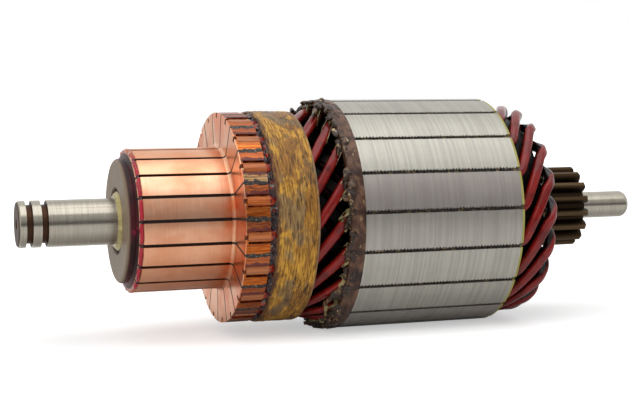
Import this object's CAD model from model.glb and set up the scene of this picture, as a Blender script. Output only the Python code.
# %% [markdown]
# # The looks of a starter motor armature
# An armature is the turning part of a small, strong motor: a shaft, a copper commutator for the
# brushes, a stack of steel sheets and a winding of thick red hairpins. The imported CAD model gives
# every piece its true place and size in metres. This lesson adds what the eye wants on top of it:
# rounded wires, resin, varnish, turning marks and sheet edges. Nothing here moves a CAD part.

# %% Load the frame
import math

import bpy
import numpy as np
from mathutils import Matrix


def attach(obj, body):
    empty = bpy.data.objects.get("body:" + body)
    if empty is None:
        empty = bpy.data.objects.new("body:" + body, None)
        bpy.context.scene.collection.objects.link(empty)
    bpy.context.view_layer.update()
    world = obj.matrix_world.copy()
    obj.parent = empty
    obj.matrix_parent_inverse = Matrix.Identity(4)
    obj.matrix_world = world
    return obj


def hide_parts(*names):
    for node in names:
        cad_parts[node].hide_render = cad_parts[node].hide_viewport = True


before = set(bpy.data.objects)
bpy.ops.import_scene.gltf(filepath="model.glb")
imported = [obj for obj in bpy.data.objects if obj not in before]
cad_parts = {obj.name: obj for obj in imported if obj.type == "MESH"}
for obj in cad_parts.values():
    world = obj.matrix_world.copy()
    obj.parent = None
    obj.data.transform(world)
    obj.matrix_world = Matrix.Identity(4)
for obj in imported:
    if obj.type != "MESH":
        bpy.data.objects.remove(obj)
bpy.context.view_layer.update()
MM = 0.001
print("nodes:", len(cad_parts))

# %% [markdown]
# ## Measures
# The shaft lies along X, so every round piece is known by four numbers: where it starts and ends on
# X, and its inner and outer radius. They are read from the CAD meshes, so the looks follow the part
# when its sizes change. A turn is an angle round the shaft, counted from straight down.

# %% Read the measures
def reach(node):
    """Start and end along the shaft, least and greatest distance from it, of a CAD node."""
    count = len(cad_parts[node].data.vertices)
    co = np.empty(count * 3)
    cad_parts[node].data.vertices.foreach_get("co", co)
    x, y, z = co.reshape(-1, 3).T
    r = np.hypot(y, z)
    return x.min(), x.max(), r.min(), r.max()


def around(x, r, turn):
    """Points at x along the shaft and r away from it: y = r sin(turn), z = -r cos(turn)."""
    return np.stack(np.broadcast_arrays(x, r * np.sin(turn), -r * np.cos(turn)), axis=-1)


SLOTS = sum(name.startswith("hairpin_coil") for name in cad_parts)
PITCH = 2 * math.pi / SLOTS
core_x0, core_x1, _, core_r = reach("lamination_stack")
bar_x0, bar_x1, _, riser_r = reach("commutator_bar_01")
band_x0, band_x1, band_r0, band_r = reach("banding_ring")
rim_x0, _, _, rim_r = reach("front_end_insulator")
wire_x0, nose_x, _, wire_r = reach("hairpin_coil_01")
shaft_x0, shaft_x1, _, gear_r = reach("armature_shaft")
print("slots:", SLOTS, "core radius:", round(core_r, 5), "riser radius:", round(riser_r, 5))

# %% [markdown]
# ## The camera
# The armature is seen from beyond its commutator end: the camera stands to the left, turned to the
# right, and a little above the shaft. A long lens keeps the perspective mild. The two angles, the
# roll and the place are named, and the camera's matrix is built from them.

# %% Set up the camera
VIEW_TURN = math.radians(18.78)
VIEW_DIP = math.radians(4.31)
VIEW_ROLL = math.radians(-0.48)
CAMERA_PLACE = np.array([-55.3, -348.95, 28.92]) * MM
LENS = 78.25


def new_object(name, data):
    """An object at the origin, linked into the scene."""
    thing = bpy.data.objects.new(name, data)
    bpy.context.scene.collection.objects.link(thing)
    return thing


def camera_matrix(turn, dip, roll, place):
    """Columns: right, up, backward and place. The look runs along +Y, turned to +X and dipped."""
    look = np.array([math.sin(turn) * math.cos(dip), math.cos(turn) * math.cos(dip), -math.sin(dip)])
    right = np.cross(look, [0, 0, 1])
    right /= np.linalg.norm(right)
    up = np.cross(right, look)
    matrix = np.eye(4)
    matrix[:3, 0] = right * math.cos(roll) + up * math.sin(roll)
    matrix[:3, 1] = up * math.cos(roll) - right * math.sin(roll)
    matrix[:3, 2] = -look
    matrix[:3, 3] = place
    return matrix


camera = new_object("camera", bpy.data.cameras.new("camera"))
camera.data.lens = LENS
camera.data.clip_start = 0.01
camera.data.clip_end = 100
camera.matrix_world = camera_matrix(VIEW_TURN, VIEW_DIP, VIEW_ROLL, CAMERA_PLACE).T.tolist()
bpy.context.scene.camera = camera
print("camera at", CAMERA_PLACE)

# %% [markdown]
# ## Skins
# Every new piece is a skin: a grid of points worked out as one array and sewn into quads. Rows run
# along the piece and columns run round it, right-handed about the direction of the rows, so that
# all faces point outwards. The last column joins the first. The ends are closed by caps, or the
# last row joins the first where the piece is a ring. One helper sews any such array into a mesh.

# %% Sew a grid into a mesh
def grid_faces(rows, columns, ring, start=0):
    """Corner numbers of the quads between neighbouring rows and columns, which wrap round."""
    numbers = start + np.arange(rows * columns).reshape(rows, columns)
    numbers = np.hstack([numbers, numbers[:, :1]])
    if ring:
        numbers = np.vstack([numbers, numbers[:1]])
    corners = (numbers[:-1, :-1], numbers[:-1, 1:], numbers[1:, 1:], numbers[1:, :-1])
    return np.stack(corners, axis=-1).reshape(-1, 4)


def skin(name, grids, ring=False, smooth=40, **shares):
    """An object from one grid or a list of them, smooth below an angle, with shares for materials.

    A share is an array with one number for each row and column, the same for all the grids.
    """
    grids = grids if isinstance(grids, list) else [grids]
    faces, start = [], 0
    for grid in grids:
        rows, columns = grid.shape[:2]
        faces += grid_faces(rows, columns, ring, start).tolist()
        if not ring:
            faces.append(list(range(start + columns - 1, start - 1, -1)))
            faces.append(list(range(start + (rows - 1) * columns, start + rows * columns)))
        start += rows * columns
    mesh = bpy.data.meshes.new(name)
    mesh.from_pydata(np.concatenate([g.reshape(-1, 3) for g in grids]).tolist(), [], faces)
    mesh.polygons.foreach_set("use_smooth", np.ones(len(mesh.polygons), bool))
    mesh.set_sharp_from_angle(angle=math.radians(smooth))
    for key, share in shares.items():
        values = np.tile(np.broadcast_to(share, grids[0].shape[:2]).ravel(), len(grids))
        mesh.attributes.new(key, "FLOAT", "POINT").data.foreach_set("value", values)
    mesh.validate()
    piece = new_object(name, mesh)
    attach(piece, "root")
    return piece


# %% [markdown]
# ## Recipes for materials
# A material is written as a recipe: each call adds one node and hands back its output, so a pattern
# reads as a line of plain code. Patterns live in Object coordinates, which are metres here. Because
# the shaft is the X axis, x alone makes rings, and squashing y and z makes streaks round the part.

# %% A small kit of node calls
def shade(code):
    """A linear colour from the six-figure code that a paint program shows."""
    parts = [int(code[i:i + 2], 16) / 255 for i in (0, 2, 4)]
    return tuple(p / 12.92 if p < 0.04045 else ((p + 0.055) / 1.055) ** 2.4 for p in parts) + (1.0,)


class Recipe:
    """One material. Each method adds a node, links what it is given and returns the output."""

    def __init__(self, name):
        self.material = bpy.data.materials.new(name)
        self.material.use_nodes = True
        self.nodes = self.material.node_tree.nodes
        self.shader = self.nodes["Principled BSDF"]
        self.place = self.add("ShaderNodeTexCoord").outputs["Object"]
        split = self.add("ShaderNodeSeparateXYZ", {0: self.place})
        self.x, self.y, self.z = split.outputs
        flat = self.add("ShaderNodeVectorMath", {0: self.place, 1: (0, 1, 1)}, operation="MULTIPLY")
        self.radius = self.add("ShaderNodeVectorMath", {0: flat.outputs[0]}, operation="LENGTH").outputs[1]

    def add(self, kind, inputs=None, **settings):
        node = self.nodes.new(kind)
        for key, value in settings.items():
            setattr(node, key, value)
        for key, value in (inputs or {}).items():
            self.feed(node.inputs[key], value)
        return node

    def feed(self, socket, value):
        """Links an output to a socket, or writes a number or a colour code into it."""
        if isinstance(value, bpy.types.NodeSocket):
            self.material.node_tree.links.new(value, socket)
        else:
            socket.default_value = shade(value) if isinstance(value, str) else value

    def calc(self, operation, a, b=0.0, c=0.0):
        return self.add("ShaderNodeMath", {0: a, 1: b, 2: c}, operation=operation).outputs[0]

    def turn(self):
        """Angle round the shaft from straight down."""
        return self.calc("ARCTAN2", self.y, self.calc("MULTIPLY", self.z, -1.0))

    def share(self, key):
        """A number that was stored on the points of a skin."""
        return self.add("ShaderNodeAttribute", attribute_name=key).outputs["Fac"]

    def step_of(self, start=0.0):
        """How many pitches round from start, with its fraction: whole numbers lie on the slots."""
        return self.calc("DIVIDE", self.calc("SUBTRACT", self.turn(), start), PITCH)

    def across(self, start=0.0):
        """Arc in metres from the middle of the bar or tooth, growing with the turn."""
        share = self.calc("FRACT", self.step_of(start))
        angle = self.calc("MULTIPLY", self.calc("SUBTRACT", share, 0.5), PITCH)
        return self.calc("MULTIPLY", angle, self.radius)

    def own(self, start=0.0, seed=0.0):
        """A random number from 0 to 1 for each bar or tooth."""
        return self.chance(self.calc("ADD", self.calc("FLOOR", self.step_of(start)), 0.37 + seed))

    def noise(self, scale, detail=2.0, rough=0.5, shift=(0, 0, 0), warp=0.0):
        """Cloudy noise, from 0 to 1, with its own count of clouds per metre along X, Y and Z."""
        mapped = self.add("ShaderNodeMapping", {"Vector": self.place, "Scale": scale, "Location": shift})
        inputs = {"Vector": mapped.outputs[0], "Scale": 1.0, "Detail": detail, "Roughness": rough,
                  "Distortion": warp}
        return self.add("ShaderNodeTexNoise", inputs).outputs[0]

    def chance(self, value):
        """A random number from 0 to 1 for each different value."""
        return self.add("ShaderNodeTexWhiteNoise", {"W": value}, noise_dimensions="1D").outputs[0]

    def fade(self, value, low, high, start=0.0, end=1.0):
        """Goes smoothly from start to end while the value goes from low to high."""
        inputs = {0: value, 1: low, 2: high, 3: start, 4: end}
        node = self.add("ShaderNodeMapRange", inputs, interpolation_type="SMOOTHSTEP")
        return node.outputs[0]

    def window(self, value, low, high, soft):
        """1 between low and high, 0 outside, with soft edges."""
        rise = self.fade(value, low - soft, low + soft)
        return self.calc("SUBTRACT", rise, self.fade(value, high - soft, high + soft))

    def mix(self, share, a, b):
        """Colour a where the share is 0 and b where it is 1; each is an output or a code."""
        node = self.add("ShaderNodeMix", {0: share, 6: a, 7: b}, data_type="RGBA")
        return node.outputs[2]

    def bump(self, height, depth, normal=None):
        """A relief of that depth, in metres, on top of another normal if one is given."""
        node = self.add("ShaderNodeBump", {"Strength": 1.0, "Distance": depth, "Height": height})
        if normal is not None:
            self.feed(node.inputs["Normal"], normal)
        return node.outputs[0]

    def finish(self, **sockets):
        """Writes or links the shader's sockets; Base_Color stands for Base Color."""
        for key, value in sockets.items():
            self.feed(self.shader.inputs[key.replace("_", " ")], value)
        return self.material


def dress(names, material):
    """Puts one material on CAD nodes or pieces, given by object or by node name."""
    for name in names:
        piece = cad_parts[name] if isinstance(name, str) else name
        piece.data.materials.clear()
        piece.data.materials.append(material)


def family(prefix):
    """The CAD nodes whose names start that way, in order."""
    return sorted(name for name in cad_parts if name.startswith(prefix))


# %% [markdown]
# ## The studio
# The part lies on a pale floor under soft light. A large lamp hangs above, a weaker one fills the
# left, and the world gives the rest. The floor and world look white to the camera, while the lamps
# stay at a plain level. A dark card in front of the part, as studios use for metal, is seen
# only by reflections: it draws the dark line that polished shafts show.

# %% Floor, world and lamps
def studio_sheet(name, corners):
    """A flat sheet with four corners that belongs to the studio and not to the part."""
    mesh = bpy.data.meshes.new(name)
    mesh.from_pydata(corners, [], [(0, 1, 2, 3)])
    sheet = new_object(name, mesh)
    return sheet


def studio_floor():
    """A wide square under the core."""
    half = 3.0
    edges = [(-half, -half), (half, -half), (half, half), (-half, half)]
    return studio_sheet("floor", [(x, y, -core_r) for x, y in edges])


def seen(recipe):
    """1 for rays that show the background: camera, mirror and glass rays."""
    path = recipe.add("ShaderNodeLightPath").outputs
    first = recipe.calc("MAXIMUM", path["Is Camera Ray"], path["Is Glossy Ray"])
    return recipe.calc("MAXIMUM", first, path["Is Transmission Ray"])


floor = studio_floor()
floor_paint = Recipe("floor_paint")
glow = floor_paint.calc("MULTIPLY", seen(floor_paint), 0.26)
straight = floor_paint.add("ShaderNodeLightPath").outputs["Is Camera Ray"]
far_off = floor_paint.fade(floor_paint.radius, 0.15, 0.9, 0.46, 0.90)
contact = floor_paint.fade(floor_paint.calc("ABSOLUTE", floor_paint.y), 0.2 * core_r, 1.3 * core_r)
glow = floor_paint.calc("MULTIPLY", glow, contact)
glow = floor_paint.calc("ADD", glow, floor_paint.calc("MULTIPLY", straight, far_off))
dress([floor], floor_paint.finish(Base_Color="dedede", Roughness=1.0,
                                  Emission_Color=(1, 1, 1, 1), Emission_Strength=glow))

world = bpy.data.worlds.new("studio")
bpy.context.scene.world = world
world.use_nodes = True
nodes, links = world.node_tree.nodes, world.node_tree.links
path = nodes.new("ShaderNodeLightPath").outputs
shows = nodes.new("ShaderNodeMath")
shows.operation = "MAXIMUM"
links.new(path["Is Camera Ray"], shows.inputs[0])
links.new(path["Is Glossy Ray"], shows.inputs[1])
strength = nodes.new("ShaderNodeMapRange")
links.new(shows.outputs[0], strength.inputs[0])
strength.inputs[3].default_value = 0.50
strength.inputs[4].default_value = 1.0
links.new(strength.outputs[0], nodes["Background"].inputs["Strength"])
nodes["Background"].inputs["Color"].default_value = (1, 1, 1, 1)


def lamp(name, place, target, size, power):
    """A square soft box at place, in metres, that points at the target."""
    light = bpy.data.lights.new(name, "AREA")
    light.shape = "SQUARE"
    light.size = size
    light.energy = power
    holder = new_object(name, light)
    back = np.array(place) - np.array(target)
    back = back / np.linalg.norm(back)
    side = np.cross([0, 0, 1], back)
    side /= np.linalg.norm(side)
    matrix = np.eye(4)
    matrix[:3, 0] = side
    matrix[:3, 1] = np.cross(back, side)
    matrix[:3, 2] = back
    matrix[:3, 3] = place
    holder.matrix_world = matrix.T.tolist()


def front_card(distance, height):
    """An upright card on the camera's side, dark below, grey above, seen by reflections only."""
    edges = [(-2.0, -core_r), (2.0, -core_r), (2.0, height), (-2.0, height)]
    card = studio_sheet("front_card", [(x, -distance, z) for x, z in edges])
    card.visible_camera = False
    card.visible_diffuse = False
    card.visible_transmission = False
    card.visible_shadow = False
    paint = Recipe("card_paint")
    grey = paint.fade(paint.z, -0.01, 0.45 * height, 0.06, 0.60)
    dress([card], paint.finish(Base_Color=(0, 0, 0, 1), Specular_IOR_Level=0.0,
                               Emission_Color=(1, 1, 1, 1), Emission_Strength=grey))


middle = np.array([(shaft_x0 + shaft_x1) / 2, 0, 0])
lamp("key_lamp", middle + [0.05, -0.22, 0.76], middle, 0.9, 2.8)
lamp("fill_lamp", middle + [-0.55, -0.65, 0.40], middle, 0.6, 2.6)
front_card(0.30, 0.32)
bpy.context.scene.view_settings.view_transform = "Standard"
print("floor at z =", -core_r)

# %% [markdown]
# ## Waves and lumps
# Resin, varnish and glass fibre are never quite even. Real unevenness can be sculpted or scanned, but
# a sum of random waves does the same in one line, gives the same result each time from its seed,
# and closes up round the shaft when each wave turns a whole number of times.

# %% Random relief
def waves(x, turn, seed, length, most_turns=24, count=28):
    """Relief from about -1 to 1: cosines of random pitch along x and random whole counts of turn."""
    dice = np.random.default_rng(seed)
    pitch = 2 * math.pi / length * dice.uniform(0.15, 1.0, count)
    turns = dice.integers(0, most_turns, count) * dice.choice([-1, 1], count)
    phase = dice.uniform(0, 2 * math.pi, count)
    angle = np.multiply.outer(x, pitch) + np.multiply.outer(turn, turns) + phase
    return np.cos(angle).sum(-1) / math.sqrt(count)


def ring(x, r, columns, relief):
    """A closed profile of (x, r) points carried round the shaft, then moved by relief(x, r, turn)."""
    turn = np.linspace(0, 2 * math.pi, columns, endpoint=False)[None, :] + 0 * x[:, None]
    x, r = relief(x[:, None] + 0 * turn, r[:, None] + 0 * turn, turn)
    return around(x, r, turn)


def lump(x, r, turn, size, seed, rough=0.25):
    """A closed blob: an ellipsoid of half sizes (along, outward, around) with waves on its skin."""
    polar = np.linspace(0.12, math.pi - 0.12, 14)[:, None]
    side = np.linspace(0, 2 * math.pi, 18, endpoint=False)[None, :]
    swell = 1 + rough * waves(polar, side, seed, 2.0, 4, 10)
    along = x - size[0] * swell * np.cos(polar)
    out = r + size[1] * swell * np.sin(polar) * np.cos(side)
    round_it = turn + size[2] / r * swell * np.sin(polar) * np.sin(side)
    return around(along, out, round_it)


# %% [markdown]
# ## The hairpin winding
# Each coil is one thick copper bar, bent like a hairpin. Its upper side comes out of a riser, leans
# round the shaft under the banding, straightens into its slot, leans the other way behind the core,
# tips over at the nose and returns one layer lower. A curve object with a bevel would twist its
# rectangular section, so the section is carried along the path with its own outward direction.

# %% The path of one coil
WIRE_W = 2.6 * MM
WIRE_H = 3.4 * MM
NOSE_H = 2.8 * MM
NOSE_BEND = 2.2 * MM
LAYER_GAP = 0.4 * MM
RISER_LAYER_GAP = 0.2 * MM
RISER_SINK = 0.6 * MM
RISER_UPSET = 0.4 * MM
UPSET_W = 3.1 * MM
FRONT_STRAIGHT = 1.7 * MM
RISER_STRAIGHT = 3.9 * MM
REAR_STRAIGHT = 1.2 * MM
NOSE_HALF_TURN = math.radians(9.9)
COMMUTATOR_TURN = math.radians(1.5)
UPPER_TURN = 2.5 * PITCH + COMMUTATOR_TURN
LOWER_TURN = 2.5 * PITCH - COMMUTATOR_TURN
NOSE_TURN = 2 * PITCH
upper_r = wire_r - WIRE_H / 2
lower_r = upper_r - WIRE_H - LAYER_GAP
riser_upper_r = riser_r - RISER_SINK - WIRE_H / 2
riser_lower_r = riser_upper_r - WIRE_H - RISER_LAYER_GAP
lead_x0 = bar_x1 + RISER_STRAIGHT
lead_x1 = core_x0 - FRONT_STRAIGHT
rear_x0 = core_x1 + REAR_STRAIGHT
rear_x1 = nose_x - NOSE_BEND - NOSE_H / 2


def eased(s, soft0, soft1):
    """Share of a turn done at share s: a parabola, then a straight line, then a parabola."""
    middle = s - soft0 / 2
    body = np.where(s < soft0, s * s / (2 * soft0), middle)
    body = np.where(s > 1 - soft1, 1 - (soft0 + soft1) / 2 - (1 - s) ** 2 / (2 * soft1), body)
    return body / (1 - (soft0 + soft1) / 2)


def coil_side(turn, r_riser, r_core, upset):
    """One side from its riser to the nose, as rows of x, turn, radius and height."""
    s = np.linspace(0, 1, 44)
    x = lead_x0 + (lead_x1 - lead_x0) * s
    climb = np.clip((x - band_x1) / (lead_x1 - band_x1), 0, 1)
    radius = r_riser + (r_core - r_riser) * climb * climb * (3 - 2 * climb)
    lead = np.stack([x, turn * (1 - eased(s, 0.14, 0.14)), radius, np.full(44, WIRE_H)], -1)
    s = np.linspace(0, 1, 26)
    lean = -(NOSE_TURN - NOSE_HALF_TURN) * eased(s, 0.24, 0.001)
    rear = np.stack([rear_x0 + (rear_x1 - rear_x0) * s, lean, np.full(26, r_core),
                     WIRE_H + (NOSE_H - WIRE_H) * s], -1)
    tall = [turn, r_riser + upset / 2, WIRE_H + upset]
    start = [[wire_x0] + tall, [bar_x1] + tall, [(bar_x1 + band_x0) / 2, turn, r_riser, WIRE_H]]
    return np.concatenate([start, lead, rear])


def coil_path():
    """Rows of x, turn, radius, height and tip for a whole coil; tip goes from 0 to pi at the nose."""
    upper = coil_side(UPPER_TURN, riser_upper_r, upper_r, RISER_UPSET)
    lower = coil_side(LOWER_TURN, riser_lower_r, lower_r, 0)[::-1]
    lower[:, 1] = -2 * NOSE_TURN - lower[:, 1]
    tip = np.linspace(0, math.pi, 26)[1:-1]
    nose = np.stack([rear_x1 + NOSE_BEND * np.sin(tip),
                     -NOSE_TURN + NOSE_HALF_TURN * (1 - 2 * tip / math.pi),
                     (upper_r + lower_r) / 2 + (upper_r - lower_r) / 2 * np.cos(tip),
                     np.full(24, NOSE_H)], -1)
    tips = np.concatenate([np.zeros(len(upper)), tip, np.full(len(lower), math.pi)])
    return np.concatenate([upper, nose, lower]), tips


print("coil path rows:", len(coil_path()[0]))

# %% [markdown]
# The section is a rounded rectangle, written as a superellipse: cosine and sine raised to the same
# small power. Every point of the path gets a frame of three directions: along the path, outward
# (turned over with the tip), and across. One formula then places all the points of all the rings.

# %% Carry the section along the path
SECTION_POWER = 0.62


def unit(v):
    return v / np.linalg.norm(v, axis=-1, keepdims=True)


def hairpin(first_turn):
    """The grid of one hairpin whose upper side lies in the slot at first_turn."""
    path, tips = coil_path()
    x, turn, radius, height = path.T
    turn = turn + first_turn
    line = around(x, radius, turn)
    along = unit(np.gradient(line, axis=0))
    radial = around(0, 1, turn)
    outward = np.cos(tips)[:, None] * radial + np.sin(tips)[:, None] * np.array([1, 0, 0])
    up = unit(outward - (outward * along).sum(-1, keepdims=True) * along)
    across = np.cross(along, up)
    angle = np.linspace(0, 2 * math.pi, 24, endpoint=False)
    a = np.sign(np.cos(angle)) * np.abs(np.cos(angle)) ** SECTION_POWER
    b = np.sign(np.sin(angle)) * np.abs(np.sin(angle)) ** SECTION_POWER
    width = WIRE_W + (UPSET_W - WIRE_W) * np.clip((bar_x1 + 0.7 * MM - x) / (0.7 * MM), 0, 1)
    rise = (height / 2)[:, None, None] * a[None, :, None] * up[:, None]
    spread = (width / 2)[:, None, None] * b[None, :, None] * across[:, None]
    return line[:, None] + rise + spread


rows = len(coil_path()[0])
layer = np.clip((np.linspace(1, 0, rows) - 0.44) / 0.08, 0, 1)[:, None]
crest = np.cos(np.linspace(0, 2 * math.pi, 24, endpoint=False))[None, :] * (2 * (layer > 0.5) - 1)
coils = []
for number in range(SLOTS):
    coil = skin(f"hairpin_{number + 1:02d}", hairpin(number * PITCH), smooth=60,
                layer=layer, crest=crest)
    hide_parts(f"hairpin_coil_{number + 1:02d}")
    coils.append(coil)
print("hairpins:", len(coils), "rows and columns of one:", hairpin(0).shape[:2])

# %% [markdown]
# The wire is dipped in a deep red varnish: glossy on its outer face, nearly black on its flanks and
# in the lower layer, where resin and dust have gathered, and stripped to bare orange copper where it
# was hammered and brazed into the riser. The skin carries two numbers for this: the layer, and the
# crest, which is 1 on the outer face of the wire. Gloss is a real reflection and not painted light.

# %% Red enamel
enamel = Recipe("red_enamel")
grime = enamel.fade(enamel.noise((260, 260, 260), 3), 0.35, 0.75)
red = enamel.mix(grime, "861a15", "5a100d")
open_face = enamel.calc("MULTIPLY", enamel.fade(enamel.share("crest"), -0.35, 0.75), enamel.share("layer"))
patch = enamel.noise((900, 900, 900), 3)
open_face = enamel.fade(enamel.calc("ADD", open_face, enamel.calc("MULTIPLY", patch, 0.35)), 0.35, 0.95)
red = enamel.mix(open_face, "0d0404", red)
grain = enamel.noise((120, 2400, 2400), 3, 0.6)
bare = enamel.mix(enamel.fade(grain, 0.3, 0.7), "8a3a14", "cd7030")
bare = enamel.mix(enamel.fade(enamel.own(COMMUTATOR_TURN), 0.2, 0.9, 0.0, 0.5), bare, "bb7c50")
jag = enamel.calc("MULTIPLY", enamel.calc("SUBTRACT", enamel.noise((700, 500, 500), 3), 0.5), 1.8 * MM)
edge = enamel.calc("ABSOLUTE", enamel.calc("ADD", enamel.across(COMMUTATOR_TURN), jag))
bare = enamel.mix(enamel.fade(edge, 1.25 * MM, 1.5 * MM), bare, "501410")
stripped = enamel.fade(enamel.x, bar_x1 - 0.1 * MM, bar_x1 + 0.5 * MM)
stub = enamel.fade(enamel.x, bar_x1 + 0.7 * MM, bar_x1 + 1.8 * MM)
scorched = enamel.mix(enamel.fade(patch, 0.4, 0.6), "5a1510", "b03c1a")
coat = enamel.mix(stub, scorched, red)
enamel_bump = enamel.bump(enamel.noise((500, 500, 500), 3), 0.00012)
sooty = enamel.calc("MULTIPLY", enamel.fade(enamel.share("layer"), 0.5, 0.0), stub)
dress(coils, enamel.finish(Base_Color=enamel.mix(stripped, bare, coat), Roughness=0.16,
                           Metallic=sooty, Normal=enamel_bump, Specular_IOR_Level=0.36))
print("red, scorched and bare along x")

# %% [markdown]
# ## Winding resin
# The wound armature was dipped in resin, which fills the space between the two layers. It could be
# one fluid-like lump, but all that shows is a dark bottom between the wires. So it is two rings that
# follow the lower layer, from the band to the core and from the core to the noses.

# %% Dark resin between the layers
def resin_ring(name, x, r, depth):
    """A closed ring whose outside runs through the points (x, r) and whose inside is deeper."""
    profile_x = np.concatenate([x, x[::-1]])
    profile_r = np.concatenate([r, r[::-1] - depth])

    def relief(px, pr, turn):
        return px, pr + 0.15 * MM * waves(px, turn, 61, 2.5 * MM, 60)

    piece = skin(name, ring(profile_x, profile_r, 240, relief), ring=True, smooth=60)
    return piece


front_x = np.linspace(band_x0 + 2 * MM, rim_x0 + 0.8 * MM, 14)
climb = np.clip((front_x - band_x1) / (lead_x1 - band_x1), 0, 1)
front_r = riser_lower_r + (lower_r - riser_lower_r) * climb + 0.8 * MM
rear_x = np.linspace(core_x1 + 0.8 * MM, nose_x - 3.8 * MM, 8)
resin_rings = [resin_ring("front_winding_resin", front_x, front_r, 5 * MM),
               resin_ring("rear_winding_resin", rear_x, 0 * rear_x + lower_r + 1.8 * MM, 5.8 * MM)]
bottom = Recipe("winding_resin")
murk = bottom.mix(bottom.fade(bottom.noise((500, 500, 500), 3), 0.5, 0.7), "0c0807", "241410")
dress(resin_rings, bottom.finish(Base_Color=murk, Roughness=0.4, Specular_IOR_Level=0.08))
print("resin under the coil ends, at the front from", round(front_x[0], 4), "to", round(front_x[-1], 4))

# %% [markdown]
# ## Glass banding
# Resin-soaked glass fibre is wound tight over the leads so that they can't fly outward. The ring is
# a closed profile carried round the shaft. Its skin has long shallow waves along the winding, and
# its two edges wander a little, as wet roving does.

# %% The banding ring
def band_relief(x, r, turn):
    """Fibre waves on the outside and wandering edges; the inside stays true."""
    outside = np.clip((r - band_r0) / (band_r - band_r0), 0, 1)
    wander = 0.12 * MM * waves(0 * x, turn, 3, 1.0, 14)
    fibres = 0.05 * MM * waves(x, turn, 4, 1.6 * MM, 5) + 0.05 * MM * waves(x, turn, 5, 9 * MM, 12)
    return x + wander * outside, r + (fibres - 0.12 * MM) * outside


step = np.linspace(0, 1, 40)
edge = np.minimum(1, np.minimum(step, 1 - step) * 9)
outer_x = band_x0 + (band_x1 - band_x0) * step
outer_r = band_r0 + (band_r - band_r0) * (0.55 + 0.45 * np.sqrt(edge * (2 - edge)))
profile_x = np.concatenate([outer_x, [band_x1, band_x0]])
profile_r = np.concatenate([outer_r, [band_r0, band_r0]])
band = skin("glass_banding", ring(profile_x, profile_r, 360, band_relief), ring=True)
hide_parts("banding_ring")

glass = Recipe("glass_band")
fibres = glass.noise((2600, 330, 330), 4, 0.7)
patches = glass.noise((200, 110, 110), 4, 0.65, warp=0.8)
amber = glass.mix(glass.fade(fibres, 0.34, 0.64), "55350f", "a9742a")
gold = glass.mix(glass.fade(fibres, 0.34, 0.62), "8a5c18", "dca53c")
amber = glass.mix(glass.fade(patches, 0.44, 0.58), amber, gold)
dull = glass.noise((150, 90, 90), 3, 0.6, (4, 2, 7))
greyed = glass.mix(glass.fade(fibres, 0.34, 0.64), "543f2c", "8b7452")
amber = glass.mix(glass.fade(dull, 0.50, 0.62, 0.0, 0.8), amber, greyed)
speck = glass.fade(glass.noise((1300, 260, 260), 4, 0.7, (1, 8, 3)), 0.54, 0.66)
speck = glass.calc("MULTIPLY", speck, glass.fade(glass.noise((120, 80, 80), 2), 0.40, 0.58))
amber = glass.mix(speck, amber, "24160b")
worn_rim = glass.fade(glass.x, band_x0 + 0.2 * MM, band_x0 + 2.2 * MM)
worn_rim = glass.fade(glass.calc("ADD", worn_rim, fibres), 0.35, 0.95)
amber = glass.mix(worn_rim, "4a2a18", amber)
far_rim = glass.fade(glass.x, band_x1 - 0.7 * MM, band_x1 - 0.2 * MM)
amber = glass.mix(glass.calc("MULTIPLY", far_rim, 0.6), amber, "a08a70")
glass_bump = glass.bump(fibres, 0.00012)
dress([band], glass.finish(Base_Color=amber, Roughness=0.45, Normal=glass_bump,
                           Specular_IOR_Level=0.3))
print("banding from", round(band_x0, 4), "to", round(band_x1, 4))

# %% [markdown]
# ## Steel sheets
# The core is pressed from thin sheets of electrical steel and then turned to size. Each sheet takes
# the light a little differently, so the surface shows fine upright lines. The CAD solid has the
# right form and stays; its material makes one tone for each sheet from a random number of the
# sheet's index, and one tone for each tooth, because the teeth spring by different amounts.

# %% Sheet steel
SHEET = 0.5 * MM
SLOT_SEED = 2.0
steel = Recipe("sheet_steel")
sheet = steel.calc("FLOOR", steel.calc("DIVIDE", steel.x, SHEET))
strip = steel.calc("ADD", sheet, steel.calc("MULTIPLY", steel.calc("FLOOR", steel.step_of()), 0.13))
tone = steel.chance(strip)
scratch = steel.noise((3000, 200, 200), 3, 0.6)
cloud = steel.noise((60, 160, 160), 2)
line = steel.calc("ADD", steel.calc("MULTIPLY", tone, 0.35), steel.calc("MULTIPLY", scratch, 0.65))
grey = steel.mix(steel.fade(line, 0.2, 0.8), "a19e95", "b5b2a8")
grey = steel.mix(steel.fade(cloud, 0.3, 0.7, 0.0, 0.25), grey, "928f86")
blush = steel.fade(steel.own(seed=SLOT_SEED), 0.6, 0.95, 0.0, 0.5)
grey = steel.mix(blush, grey, "a8969a")
steel_bump = steel.bump(line, 0.00002)
sheet_steel = steel.finish(Base_Color=grey, Metallic=0.9, Normal=steel_bump,
                           Roughness=steel.fade(scratch, 0.2, 0.8, 0.36, 0.46))
dress(["lamination_stack"], sheet_steel)

# %% [markdown]
# Where a slot breaks through the surface, every sheet ends in its own small step, so the mouth looks
# like a saw blade. A bump can't break an outline, so strips of tiny steps are added along both sides
# of each mouth. Four rows make one bite with its notch, and the four columns are the strip's corners.

# %% Saw-edged slot mouths
MOUTH_W = 1.3 * MM
TIP_T = 1.3 * MM
BITE = 0.9 * MM
bites = int((core_x1 - core_x0) / BITE)


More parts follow.
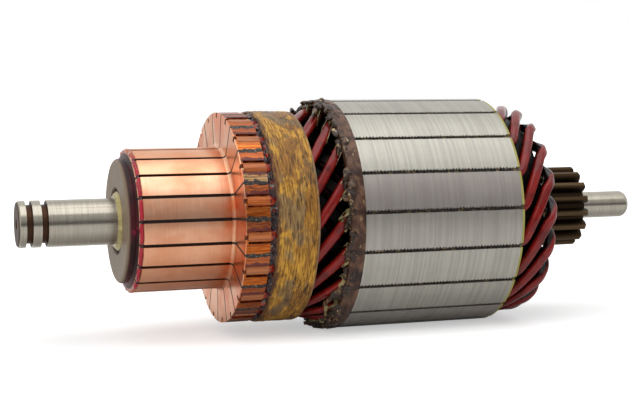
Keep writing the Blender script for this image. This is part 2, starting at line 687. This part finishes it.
def mouth_edge(slot, side):
    """A strip along one side of a mouth with a notch in each bite, deep on the side of less turn."""
    dice = np.random.default_rng(100 + 2 * slot + side)
    start = core_x0 + BITE * (np.arange(bites)[:, None] + 0.25 * dice.random((bites, 1)))
    x = (start + BITE * np.array([0.0, 0.32, 0.42, 0.72])).reshape(-1, 1)
    full = np.array([0.12, 0.46])[1 - side] * MM * (1 - 0.2 * dice.random((bites, 1)))
    bite = np.array([0.5, 0.97])[1 - side] * dice.uniform(0.5, 1.0, (bites, 1))
    depth = (full * (1 - bite * np.array([0, 0, 1, 0.9]))).reshape(-1, 1) + 0.02 * MM
    sign = 1 if side else -1
    wall = sign * (MOUTH_W / 2 + 0.03 * MM)
    tip = wall - sign * depth
    r = np.array([[core_r, core_r, core_r - TIP_T, core_r - TIP_T]]) - 0.01 * MM
    offset = np.hstack([wall + 0 * depth, tip, tip, wall + 0 * depth])
    grid = around(x, r, slot * PITCH + offset / r)
    return grid[:, ::-1] if side else grid


edges = skin("slot_mouth_edges", [mouth_edge(k, s) for k in range(SLOTS) for s in (0, 1)], smooth=20)
dress([edges], sheet_steel)
print("bites along a mouth:", bites)

# %% [markdown]
# ## Slots and their resin
# The slot liners are varnished paper, and resin has filled each mouth to just below the surface,
# dark olive and brown with paler crumbs. A strip of relief stands for it: a grid along the shaft and
# across the mouth, closed underneath.

# %% Resin in the slot mouths
def mouth_fill(slot):
    """A closed bar of resin in one mouth with waves on its top."""
    x = np.linspace(core_x0 + 0.2 * MM, core_x1 - 0.2 * MM, 220)[:, None]
    top = core_r - (0.50 - 0.14 * waves(x[:, 0], 0 * x[:, 0], 300 + slot, 1.6 * MM, 1))[:, None] * MM
    low = core_r - TIP_T + 0 * top
    half = (MOUTH_W / 2 - 0.02 * MM) / core_r
    turn = np.array([[-half, -half / 3, half / 3, half, half, -half]]) + slot * PITCH
    r = np.hstack([top - 0.05 * MM, top, top, top - 0.05 * MM, low, low])
    return around(x, r, turn)


fill = skin("slot_resin", [mouth_fill(k) for k in range(SLOTS)], smooth=60)
resin = Recipe("slot_resin")
crumbs = resin.fade(resin.noise((600, 1400, 1400), 3, 0.6), 0.54, 0.66)
olive = resin.mix(crumbs, "1b130c", "806c45")
dress([fill], resin.finish(Base_Color=olive, Roughness=0.4, Specular_IOR_Level=0.35,
                           Normal=resin.bump(resin.noise((1500, 1500, 1500), 2), 0.0002)))

paper = Recipe("slot_paper")
aged = paper.mix(paper.noise((400, 400, 400), 3), "3a2f1f", "6a5c3a")
dress(["slot_liners"], paper.finish(Base_Color=aged, Roughness=0.45))
print("mouths filled with resin:", SLOTS)

# %% [markdown]
# ## End insulators and cuffs
# The brown rim at the front is fibre board under thick varnish, and a thin yellow-green sheet ends
# the core at the rear. Where each wire leaves its slot, a cuff of folded paper is drowned in resin.
# The varnish is a ring with relief over the rim. Each cuff is two thin plates beside the wire, a
# tongue of liner over it, and lumps: ellipsoids given in the shaft's own directions, with waves.

# %% Front rim, rear sheet and resin cuffs
fibre = Recipe("end_fibre")
tan = fibre.fade(fibre.noise((420, 260, 260), 3, 0.6), 0.40, 0.66)
brown = fibre.mix(tan, "40271c", "70503c")
seam = fibre.calc("ABSOLUTE", fibre.across())
brown = fibre.mix(fibre.fade(seam, 4.0 * MM, 4.9 * MM, 0.0, 0.7), brown, "2a1a12")
brown = fibre.mix(fibre.fade(fibre.noise((250, 120, 120), 3), 0.56, 0.68), brown, "231712")
brown = fibre.mix(fibre.fade(fibre.noise((700, 300, 300), 2), 0.66, 0.74), brown, "8d7550")
fibre_bump = fibre.bump(fibre.noise((600, 300, 300), 3), 0.0004)
end_fibre = fibre.finish(Base_Color=brown, Roughness=0.36, Normal=fibre_bump,
                         Specular_IOR_Level=0.3)
dress(["front_end_insulator"], end_fibre)


def rim_relief(x, r, turn):
    """Thick and thin varnish over the rim, flat where it meets the core."""
    free = np.clip((core_x0 - x) / (1.2 * MM), 0, 1)
    coarse = waves(x, turn, 31, 4 * MM, 40)
    fine = waves(x, turn, 32, 1.5 * MM, 120)
    return x + 0.12 * MM * fine * free, r + (0.16 * coarse + 0.06 * fine - 0.05) * MM * free


rim_top = np.linspace(rim_x0 + 0.6 * MM, core_x0, 12)
rim_edge = np.clip((rim_x0 + 1.6 * MM - rim_top) / (1.2 * MM), 0, 1)
rim_bulge = rim_r + 0.12 * MM - 0.9 * MM * rim_edge ** 2
rim_under = np.full(2, rim_r - 1.8 * MM)
rim_grid = ring(np.concatenate([rim_top, [core_x0 - 0.05 * MM, rim_x0 + 0.6 * MM]]),
                np.concatenate([rim_bulge, rim_under]), 420, rim_relief)
rim_varnish = skin("rim_varnish", rim_grid, ring=True, smooth=60)
dress([rim_varnish], end_fibre)

rear_fibre = Recipe("rear_fibre")
lime = rear_fibre.mix(rear_fibre.noise((300, 200, 200), 2), "85803a", "b3ad5c")
dress(["rear_end_insulator"], rear_fibre.finish(Base_Color=lime, Roughness=0.5))

wire_top = upper_r + WIRE_H / 2
upper_side = coil_side(UPPER_TURN, riser_upper_r, upper_r, 0)


def cuff_plate(slot, side, dice):
    """A thin plate of paper beside the wire where it leaves its slot, with a ragged free edge."""
    x = np.linspace(rim_x0 - dice.uniform(1.0, 2.6) * MM, rim_x0 + 0.6 * MM, 9)[:, None]
    wire_turn = np.interp(x, upper_side[:, 0], upper_side[:, 1])
    free = np.clip((rim_x0 - x) / (2 * MM), 0, 1)
    top = wire_top + (dice.uniform(0.0, 0.8) - 1.6 * free * dice.random((9, 1))) * MM
    low = upper_r - 1.2 * MM + 0 * x
    near = side * (WIRE_W / 2 + 0.15 * MM) + side * free * dice.uniform(0.0, 0.9) * MM
    far = near + side * 0.35 * MM
    first, last = (near, far) if side > 0 else (far, near)
    r = np.hstack([low, top, top, low])
    offset = np.hstack([first, first, last, last])
    return around(x, r, slot * PITCH + wire_turn + offset / r)


def tongue(slot, dice):
    """A flap of the slot liner that lies over the wire, long at some slots and short at others."""
    length = dice.uniform(0.6, 1.6) + 2.6 * (dice.random() > 0.7)
    s = np.linspace(0, 1, 12)[:, None]
    x = rim_x0 + 1.2 * MM - (length + 1.2) * MM * (1 - s)
    wire_turn = np.interp(x, upper_side[:, 0], upper_side[:, 1])
    ragged = 1 + 0.25 * waves(x, 0 * x, slot, 1.5 * MM, 1)
    half = (0.7 + 1.3 * np.sqrt(s)) * MM * ragged
    top = wire_top + (0.55 + 0.5 * s + 0.2 * waves(x, 0 * x, slot + 50, 2 * MM, 1)) * MM
    sides = np.array([[-1.0, -0.45, 0.45, 1.0, 1.0, -1.0]])
    r = top + np.array([[-0.5, 0.0, 0.0, -0.5, -0.9, -0.9]]) * MM
    return around(x, r, slot * PITCH + wire_turn + half * sides / r)


LUMPS = 9
plates, lumps = [], []
for slot in range(SLOTS):
    dice = np.random.default_rng(500 + slot)
    plates += [cuff_plate(slot, side, dice) for side in (-1, 1)]
    for part in range(LUMPS):
        spread = math.radians(dice.uniform(-9.3, 9.3))
        x = rim_x0 + dice.uniform(-0.6, 1.3) * MM
        r = rim_r - dice.uniform(0.1, 1.6) * MM
        size = dice.uniform([0.5, 0.4, 0.8], [1.3, 0.9, 2.0]) * MM
        lumps.append(lump(x, r, slot * PITCH + spread, size, 700 + LUMPS * slot + part, 0.16))
tongues = [tongue(slot, np.random.default_rng(60 + slot)) for slot in range(SLOTS)]
tongues = skin("paper_tongues", tongues, smooth=50)
plates = skin("paper_cuffs", plates, smooth=30)
lumps = skin("resin_cuffs", lumps, smooth=80)
cuff_resin = Recipe("cuff_resin")
pale = cuff_resin.fade(cuff_resin.noise((420, 420, 420), 3, 0.6), 0.50, 0.66)
murky = cuff_resin.mix(pale, "2f1f15", "70543a")
wet = cuff_resin.fade(cuff_resin.noise((800, 800, 800), 2), 0.66, 0.74)
murky = cuff_resin.mix(wet, murky, "b9a57c")
cuff_bump = cuff_resin.bump(cuff_resin.noise((900, 900, 900), 3), 0.0002)
dress([lumps, tongues], cuff_resin.finish(Base_Color=murky, Roughness=0.25, Normal=cuff_bump,
                                          Specular_IOR_Level=0.4))
soaked = Recipe("soaked_paper")
stain = soaked.fade(soaked.noise((350, 350, 350), 3, 0.6), 0.46, 0.60)
soaked_tone = soaked.mix(stain, "a8996c", "33271a")
dress([plates], soaked.finish(Base_Color=soaked_tone, Roughness=0.3))
print("plates, tongues and lumps at the slots:", 2 * SLOTS, SLOTS, LUMPS * SLOTS)

# %% [markdown]
# ## The commutator
# The copper bars were turned after assembly, which left rings of fine lines and bright, pinkish
# metal on the brush track. The outside of the risers was only rough turned. Going round, each riser
# shows a salmon wall, a dark red gap with burnt varnish, the orange end of the conductor, another
# gap, a tan wall and a black, crusted edge at the mica. All are one material, told apart by the
# distance from the shaft and by the arc from the middle of the bar.

# %% Copper bars
TRACK_R = 18.6 * MM
WALL_SEED = 1.0
RISER_LENGTH = 6.4 * MM
riser_x0 = bar_x1 - RISER_LENGTH
copper = Recipe("turned_copper")
rings = copper.noise((5200, 90, 90), 3, 0.6)
clouds = copper.noise((70, 120, 120), 3, 0.55)
pink = copper.mix(copper.fade(clouds, 0.35, 0.68), "efc09f", "df9c79")
pink = copper.mix(copper.fade(rings, 0.2, 0.85, 0.0, 0.35), pink, "b07a66")
peach = copper.fade(copper.own(COMMUTATOR_TURN), 0.35, 0.9, 0.0, 0.45)
pink = copper.mix(peach, pink, "e29c70")
heat = copper.window(copper.x, riser_x0 - 2.8 * MM, riser_x0 + 0.4 * MM, 1.2 * MM)
heat = copper.calc("MULTIPLY", heat, copper.fade(copper.noise((160, 130, 130), 2), 0.45, 0.62))
pink = copper.mix(heat, pink, "dd7f50")
arc = copper.across(COMMUTATOR_TURN)
jag = copper.calc("SUBTRACT", copper.noise((600, 420, 420), 3, 0.6), 0.5)
jag = copper.calc("MULTIPLY", jag, 2.0 * MM)
frayed = copper.calc("ADD", arc, jag)
low = copper.calc("MULTIPLY", copper.fade(copper.radius, TRACK_R - 0.1 * MM, TRACK_R - 0.25 * MM),
                  copper.fade(copper.x, bar_x0 + 0.6 * MM, bar_x0 + 0.9 * MM))
pink = copper.mix(low, pink, "4a2618")

lines = copper.noise((160, 2600, 2600), 3, 0.6)
worn = copper.mix(copper.fade(lines, 0.3, 0.7), "86412a", "b4683f")
tan = copper.mix(copper.fade(lines, 0.3, 0.7), "7e5c40", "b8966c")
far_side = copper.fade(frayed, -0.4 * MM, 0.4 * MM)
worn = copper.mix(far_side, worn, tan)
flush = copper.fade(copper.own(COMMUTATOR_TURN, WALL_SEED), 0.35, 0.45)
orange = copper.mix(copper.fade(lines, 0.3, 0.7), "984418", "cd7434")
worn = copper.mix(copper.calc("MULTIPLY", flush, far_side), worn, orange)
burnt = copper.mix(copper.noise((900, 900, 900), 3), "2e0d0a", "7a2416")
far_gap = copper.calc("MULTIPLY", copper.window(frayed, 1.2 * MM, 2.4 * MM, 0.15 * MM),
                      copper.calc("SUBTRACT", 1.0, copper.calc("MULTIPLY", flush, 0.8)))
gaps = copper.calc("ADD", copper.window(frayed, -2.4 * MM, -1.2 * MM, 0.15 * MM), far_gap)
worn = copper.mix(gaps, worn, burnt)
crust = copper.fade(copper.calc("ABSOLUTE", frayed), 3.85 * MM, 4.1 * MM)
ash = copper.mix(copper.fade(copper.noise((1500, 2200, 2200), 3), 0.56, 0.72), "17110f", "857a6c")
worn = copper.mix(crust, worn, ash)
outside = copper.fade(copper.radius, riser_r - 0.45 * MM, riser_r - 0.15 * MM)
back = copper.fade(copper.x, riser_x0 + 0.1 * MM, riser_x0 + 0.35 * MM)
notch = copper.calc("MULTIPLY", copper.fade(copper.radius, riser_r - 1.6 * MM, riser_r - 1.2 * MM),
                    copper.fade(copper.calc("ABSOLUTE", arc), 0.62 * MM, 0.5 * MM))
rough_turned = copper.calc("MULTIPLY", outside, back)
skin_copper = copper.mix(rough_turned, pink, worn)
skin_copper = copper.mix(notch, skin_copper, burnt)
dull = copper.calc("MULTIPLY", rough_turned, copper.calc("MAXIMUM", gaps, crust))
dull = copper.calc("MAXIMUM", copper.calc("MAXIMUM", dull, notch), low)
relief = copper.bump(rings, 0.00002)
chatter = copper.calc("MULTIPLY", rough_turned, copper.noise((500, 1500, 1500), 3))
relief = copper.bump(chatter, 0.0002, relief)
dress(family("commutator_bar"), copper.finish(Base_Color=skin_copper, Normal=relief,
                                              Metallic=copper.fade(dull, 0.0, 1.0, 1.0, 0.1),
                                              Roughness=copper.fade(clouds, 0.2, 0.8, 0.27, 0.38)))

mica = Recipe("mica")
flakes = mica.fade(mica.noise((2000, 2000, 2000), 3), 0.55, 0.68)
at_rim = mica.fade(mica.radius, riser_r - 0.4 * MM, riser_r - 0.1 * MM)
dark = mica.mix(mica.calc("MULTIPLY", flakes, at_rim), "241812", "8a8073")
dress(["mica_segments"], mica.finish(Base_Color=dark, Roughness=0.6))
print("bars dressed:", len(family("commutator_bar")))

# %% [markdown]
# Behind the risers, resin has run in between the bars and up to the banding, and the conductors
# pass through it as small red humps. A ring with strong relief is the resin; glassy drops and bits
# of glass roving lie on it as lumps of several sizes.

# %% Resin behind the risers
def gully_relief(x, r, turn):
    """Lumpy outside that sinks at every conductor and rises at every mica."""
    outside = np.clip((r - riser_lower_r) / (3 * MM), 0, 1)
    beat = np.cos((turn - COMMUTATOR_TURN) * SLOTS)
    rough = 0.28 * waves(x, turn, 41, 1.5 * MM, 90) + 0.2 * waves(x, turn, 42, 4 * MM, 30)
    return x, r + (0.25 * beat + rough) * MM * outside


gully_x = np.linspace(bar_x1 - 0.1 * MM, band_x0 + 0.1 * MM, 9)
gully_r = riser_r - 1.05 * MM + 0.7 * MM * np.linspace(0, 1, 9) ** 2
gully = ring(np.concatenate([gully_x, gully_x[[-1, 0]]]),
             np.concatenate([gully_r, np.full(2, riser_lower_r - 1 * MM)]), 720, gully_relief)
DROPS = 5
drops = []
for slot in range(SLOTS):
    dice = np.random.default_rng(900 + slot)
    for part in range(DROPS):
        spread = PITCH * (0.5 + dice.uniform(-0.28, 0.28))
        x = bar_x1 + dice.uniform(0.1, 1.7) * MM
        r = riser_r - dice.uniform(0.5, 1.1) * MM
        size = dice.uniform([0.3, 0.3, 0.4], [0.8, 0.7, 1.1]) * MM
        turn = COMMUTATOR_TURN + slot * PITCH - PITCH / 2 + spread
        drops.append(lump(x, r, turn, size, 950 + DROPS * slot + part))
gully = skin("riser_resin", gully, ring=True, smooth=60)
drops = skin("resin_drops", drops, smooth=80)
tar = Recipe("riser_resin")
plum = tar.mix(tar.fade(tar.noise((700, 700, 700), 3), 0.42, 0.62), "1a1214", "46242a")
plum = tar.mix(tar.fade(tar.noise((500, 500, 500), 3, shift=(3, 1, 2)), 0.58, 0.70), plum, "7c2c18")
dress([gully], tar.finish(Base_Color=plum, Roughness=0.28,
                          Normal=tar.bump(tar.noise((1200, 1200, 1200), 3), 0.0003)))
glassy = Recipe("resin_drops")
drop = glassy.mix(glassy.fade(glassy.noise((330, 330, 330), 2), 0.48, 0.60), "2a1c1c", "8d8275")
ruddy = glassy.fade(glassy.noise((260, 260, 260), 2, shift=(5, 5, 5)), 0.58, 0.66)
drop = glassy.mix(ruddy, drop, "a33a1c")
dress([drops], glassy.finish(Base_Color=drop, Roughness=0.18))
print("drops of resin behind the risers:", DROPS * SLOTS)

# %% [markdown]
# Red varnish has run over the front bevel of the bars and stands there in a scalloped bead. It is a
# closed ring whose outer radius swells over each bar and sinks at each mica.

# %% Varnish bead at the bars' front ends
BEVEL = 1.1 * MM


def bead_relief(x, r, turn):
    """Swells over each bar, sinks between bars, with small random waves."""
    scallop = np.abs(np.sin((turn - COMMUTATOR_TURN) * SLOTS / 2)) ** 0.35
    out = 0.45 * MM * (scallop - 0.75) + 0.08 * MM * waves(x, turn, 9, 1.2 * MM, 60)
    proud = (r > TRACK_R - BEVEL) * out
    return x + (0.10 * waves(0 * x, turn, 8, 1.0, 40) + 0.3 * (1 - scallop)) * MM, r + proud


spin = np.linspace(0, 2 * math.pi, 14, endpoint=False)
bead_x = bar_x0 + 0.45 * MM - 0.48 * MM * np.cos(spin)
bead_r = TRACK_R - 0.60 * MM + 0.58 * MM * np.sin(spin)
bead = skin("varnish_bead", ring(bead_x, bead_r, 570, bead_relief), ring=True, smooth=80)
varnish = Recipe("red_varnish")
sides = varnish.calc("ABSOLUTE", varnish.across(COMMUTATOR_TURN))
crimson = varnish.mix(varnish.noise((500, 500, 500), 2), "8e1022", "c2203a")
crimson = varnish.mix(varnish.fade(sides, 2.35 * MM, 2.75 * MM), crimson, "2c0c0c")
end_turn = varnish.calc("ABSOLUTE", varnish.calc("DIVIDE", varnish.z, TRACK_R))
coppery = varnish.mix(varnish.noise((900, 900, 900), 2), "a8542c", "c8663a")
crimson = varnish.mix(varnish.fade(end_turn, 0.86, 0.96), crimson, coppery)
dress([bead], varnish.finish(Base_Color=crimson, Roughness=0.2, Specular_IOR_Level=0.4))
print("bead from", round(bead_x.min(), 5), "to", round(bead_x.max(), 5))

# %% [markdown]
# The collar in front of the bars is the end of the phenolic moulding that holds them. Its face is a
# brown-grey plastic and its rim is stained by the same red varnish. The steel bush inside it has a
# yellow passivated lip, staked over in small teeth.

# %% Collar and bush
phenolic = Recipe("phenolic")
face = phenolic.mix(phenolic.noise((200, 200, 200), 3), "74624f", "927f68")
hub_x0 = reach("commutator_hub")[0]
rim = phenolic.fade(phenolic.x, hub_x0 + 0.15 * MM, hub_x0 + 0.8 * MM)
wine = phenolic.mix(phenolic.fade(phenolic.noise((240, 150, 150), 3), 0.42, 0.62),
                    "240b0c", "47131a")
spots = phenolic.fade(phenolic.noise((420, 300, 300), 2, shift=(2, 2, 2)), 0.60, 0.70)
wine = phenolic.mix(spots, wine, "7c1430")
worn_edge = phenolic.window(phenolic.x, hub_x0 + 0.1 * MM, hub_x0 + 0.7 * MM, 0.3 * MM)
wine = phenolic.mix(phenolic.calc("MULTIPLY", worn_edge, 0.35), wine, "6e544a")
cast = phenolic.mix(rim, face, wine)
phenolic_bump = phenolic.bump(phenolic.noise((900, 900, 900), 3), 0.00008)
dress(["commutator_hub"], phenolic.finish(Base_Color=cast, Roughness=0.42, Normal=phenolic_bump,
                                          Specular_IOR_Level=0.22))

bush = Recipe("bush_steel")
gold = bush.mix(bush.noise((500, 700, 700), 3), "7d6c3e", "d2c48a")
dress(["commutator_bush"], bush.finish(Base_Color=gold, Metallic=0.9, Roughness=0.3,
                                       Normal=bush.bump(bush.noise((300, 900, 900), 2), 0.0004)))
print("collar face at", round(hub_x0, 5))

# %% [markdown]
# ## The shaft
# One bar of steel, but three finishes: ground journals, brown oil-stained ring grooves, and gear
# teeth that came dark out of hardening with rubbed bronze tips. Places along the shaft and the
# distance from it tell the finishes apart.

# %% Shaft steel
GEAR_X0 = nose_x + 1.8 * MM
GEAR_X1 = GEAR_X0 + 16.6 * MM
GROOVES_END = -8.0 * MM
GROOVE_R = 5.6 * MM
ground = Recipe("shaft_steel")
fine = ground.noise((3800, 120, 120), 2, 0.5)
metal = ground.mix(ground.fade(fine, 0.3, 0.7), "a39d90", "b0aa9d")
rubbed = ground.window(ground.x, shaft_x0 + 8.6 * MM, shaft_x0 + 26 * MM, 2.0 * MM)
worn_line = ground.fade(ground.noise((18, 1500, 1500), 2), 0.52, 0.66)
worn_line = ground.calc("MULTIPLY", worn_line, ground.calc("MULTIPLY", rubbed, 0.3))
metal = ground.mix(worn_line, metal, "7a6a60")
in_groove = ground.calc("MULTIPLY", ground.fade(ground.radius, GROOVE_R + 0.25 * MM, GROOVE_R),
                        ground.fade(ground.x, GROOVES_END, GROOVES_END - 0.3 * MM))
metal = ground.mix(in_groove, metal, "4a3528")
teeth = ground.window(ground.x, GEAR_X0 - 1.0 * MM, GEAR_X1 + 0.2 * MM, 0.15 * MM)
tips = ground.fade(ground.radius, gear_r - 1.0 * MM, gear_r - 0.05 * MM)
black = ground.mix(tips, "35291d", "574531")
metal = ground.mix(teeth, metal, black)
rough = ground.fade(ground.calc("MAXIMUM", teeth, in_groove), 0, 1, 0.24, 0.5)
dress(["armature_shaft"], ground.finish(Base_Color=metal, Metallic=1.0, Roughness=rough,
                                        Normal=ground.bump(fine, 0.000004)))
sleeve = Recipe("sleeve_paper")
dress(["shaft_sleeve"], sleeve.finish(Base_Color="3a281b", Roughness=0.6))
print("gear teeth from", round(GEAR_X0, 4), "to", round(GEAR_X1, 4))
